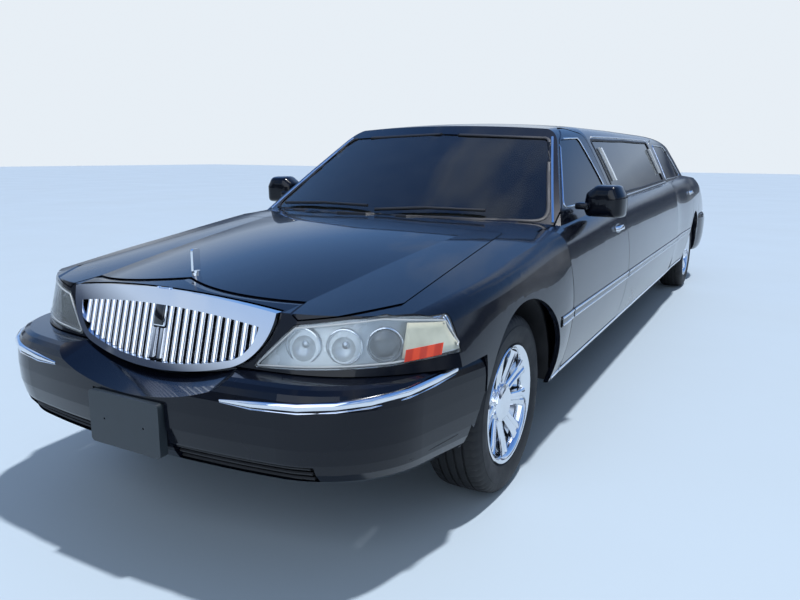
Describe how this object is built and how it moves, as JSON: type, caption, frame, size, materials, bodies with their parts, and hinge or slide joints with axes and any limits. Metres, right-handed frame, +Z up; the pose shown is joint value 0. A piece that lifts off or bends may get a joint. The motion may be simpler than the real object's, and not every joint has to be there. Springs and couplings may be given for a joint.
{
  "type": "stretch limousine",
  "caption": "Black stretch limousine with steered and rolling wheels, opening side doors, hood and trunk lid, an upright bar grille and a long glazed middle bay.",
  "frame": {"origin": "centre of the bounding box's bottom face, on the ground", "axes": "+X the car's left, -Y the front, +Z up"},
  "size_m": [2.177, 7.622, 1.4998],
  "materials": {
    "black_paint": "gloss black paint with a faint blue cast",
    "chrome": "bright chrome plate",
    "dark_glass": "dark tinted glass",
    "screen_glass": "lightly tinted windscreen glass",
    "white_lens": "white lamp lens in a bright rim",
    "black_plastic": "matt black",
    "clear_lens": "clear lamp lens",
    "reflector": "bright lamp reflector",
    "red_lens": "red lamp lens",
    "slate_plastic": "dark slate cover",
    "under_steel": "black chassis paint",
    "cast_block": "raw casting",
    "pipe_steel": "dull steel pipe",
    "chrome_wheel": "chromed wheel",
    "tyre": "rubber",
    "black_leather": "black leather"
  },
  "bodies": {
    "chassis": {"front_wings": "black_paint", "body_shell": "black_paint", "windscreen": "screen_glass", "rear_window": "dark_glass", "stretch_glass": "dark_glass", "pillar_lamps": "white_lens", "grille_surround": "chrome", "grille_backing": "black_plastic", "headlamp_lenses": "clear_lens", "headlamp_housings": "reflector", "tail_lamps": "red_lens", "bumper_front": "black_paint", "bumper_rear": "black_paint", "plate_block": "slate_plastic", "wheel_housings": "black_plastic", "floor_pan": "under_steel", "chassis_frame": "under_steel", "engine_block": "cast_block", "front_suspension": "under_steel", "rear_axle": "cast_block", "fuel_tank": "under_steel", "exhaust": "pipe_steel", "seats": "black_leather", "dashboard": "black_plastic", "steering_wheel": "black_leather", "wipers": "black_plastic"},
    "hood_lid": {"hood": "black_paint", "hood_ornament": "chrome"},
    "trunk": {"trunk_lid": "black_paint"},
    "door_fl": {"door_front_left": "black_paint", "door_glass_front_left": "dark_glass", "mirror_left": "black_paint"},
    "door_fr": {"door_front_right": "black_paint", "door_glass_front_right": "dark_glass", "mirror_right": "black_paint"},
    "door_rl": {"door_rear_left": "black_paint", "door_glass_rear_left": "dark_glass"},
    "door_rr": {"door_rear_right": "black_paint", "door_glass_rear_right": "dark_glass"},
    "steer_l": {"knuckle_left": "cast_block"},
    "steer_r": {"knuckle_right": "cast_block"},
    "wheel_fl": {"rim_front_left": "chrome_wheel", "tyre_front_left": "tyre"},
    "wheel_fr": {"rim_front_right": "chrome_wheel", "tyre_front_right": "tyre"},
    "wheel_rl": {"rim_rear_left": "chrome_wheel", "tyre_rear_left": "tyre"},
    "wheel_rr": {"rim_rear_right": "chrome_wheel", "tyre_rear_right": "tyre"}
  },
  "joints": [
    {"name": "steer_left", "type": "hinge", "parent": "chassis", "child": "steer_l", "pos_m": [0.72, -2.749, 0.351], "axis": [0, 0, 1], "range_deg": [-33, 33]},
    {"name": "steer_right", "type": "hinge", "parent": "chassis", "child": "steer_r", "pos_m": [-0.72, -2.749, 0.351], "axis": [0, 0, 1], "range_deg": [-33, 33]},
    {"name": "spin_front_left", "type": "hinge", "parent": "steer_l", "child": "wheel_fl", "pos_m": [0.805, -2.749, 0.351], "axis": [1, 0, 0], "continuous": true},
    {"name": "spin_front_right", "type": "hinge", "parent": "steer_r", "child": "wheel_fr", "pos_m": [-0.805, -2.749, 0.351], "axis": [1, 0, 0], "continuous": true},
    {"name": "spin_rear_left", "type": "hinge", "parent": "chassis", "child": "wheel_rl", "pos_m": [0.822, 2.375, 0.351], "axis": [1, 0, 0], "continuous": true},
    {"name": "spin_rear_right", "type": "hinge", "parent": "chassis", "child": "wheel_rr", "pos_m": [-0.822, 2.375, 0.351], "axis": [1, 0, 0], "continuous": true},
    {"name": "hood_hinge", "type": "hinge", "parent": "chassis", "child": "hood_lid", "pos_m": [0, -2.353, 0.992], "axis": [-1, 0, 0], "range_deg": [0, 50]},
    {"name": "trunk_hinge", "type": "hinge", "parent": "chassis", "child": "trunk", "pos_m": [0, 2.917, 1.143], "axis": [1, 0, 0], "range_deg": [0, 70]},
    {"name": "door_front_left_hinge", "type": "hinge", "parent": "chassis", "child": "door_fl", "pos_m": [0.992, -2.189, 0.66], "axis": [0, 0, -1], "range_deg": [0, 65]},
    {"name": "door_front_right_hinge", "type": "hinge", "parent": "chassis", "child": "door_fr", "pos_m": [-0.992, -2.189, 0.66], "axis": [0, 0, 1], "range_deg": [0, 65]},
    {"name": "door_rear_left_hinge", "type": "hinge", "parent": "chassis", "child": "door_rl", "pos_m": [0.992, 1.081, 0.66], "axis": [0, 0, -1], "range_deg": [0, 65]},
    {"name": "door_rear_right_hinge", "type": "hinge", "parent": "chassis", "child": "door_rr", "pos_m": [-0.992, 1.081, 0.66], "axis": [0, 0, 1], "range_deg": [0, 65]}
  ],
  "couplings": [
    {"joint": "steer_right", "follows": "steer_left", "ratio": 1}
  ]
}
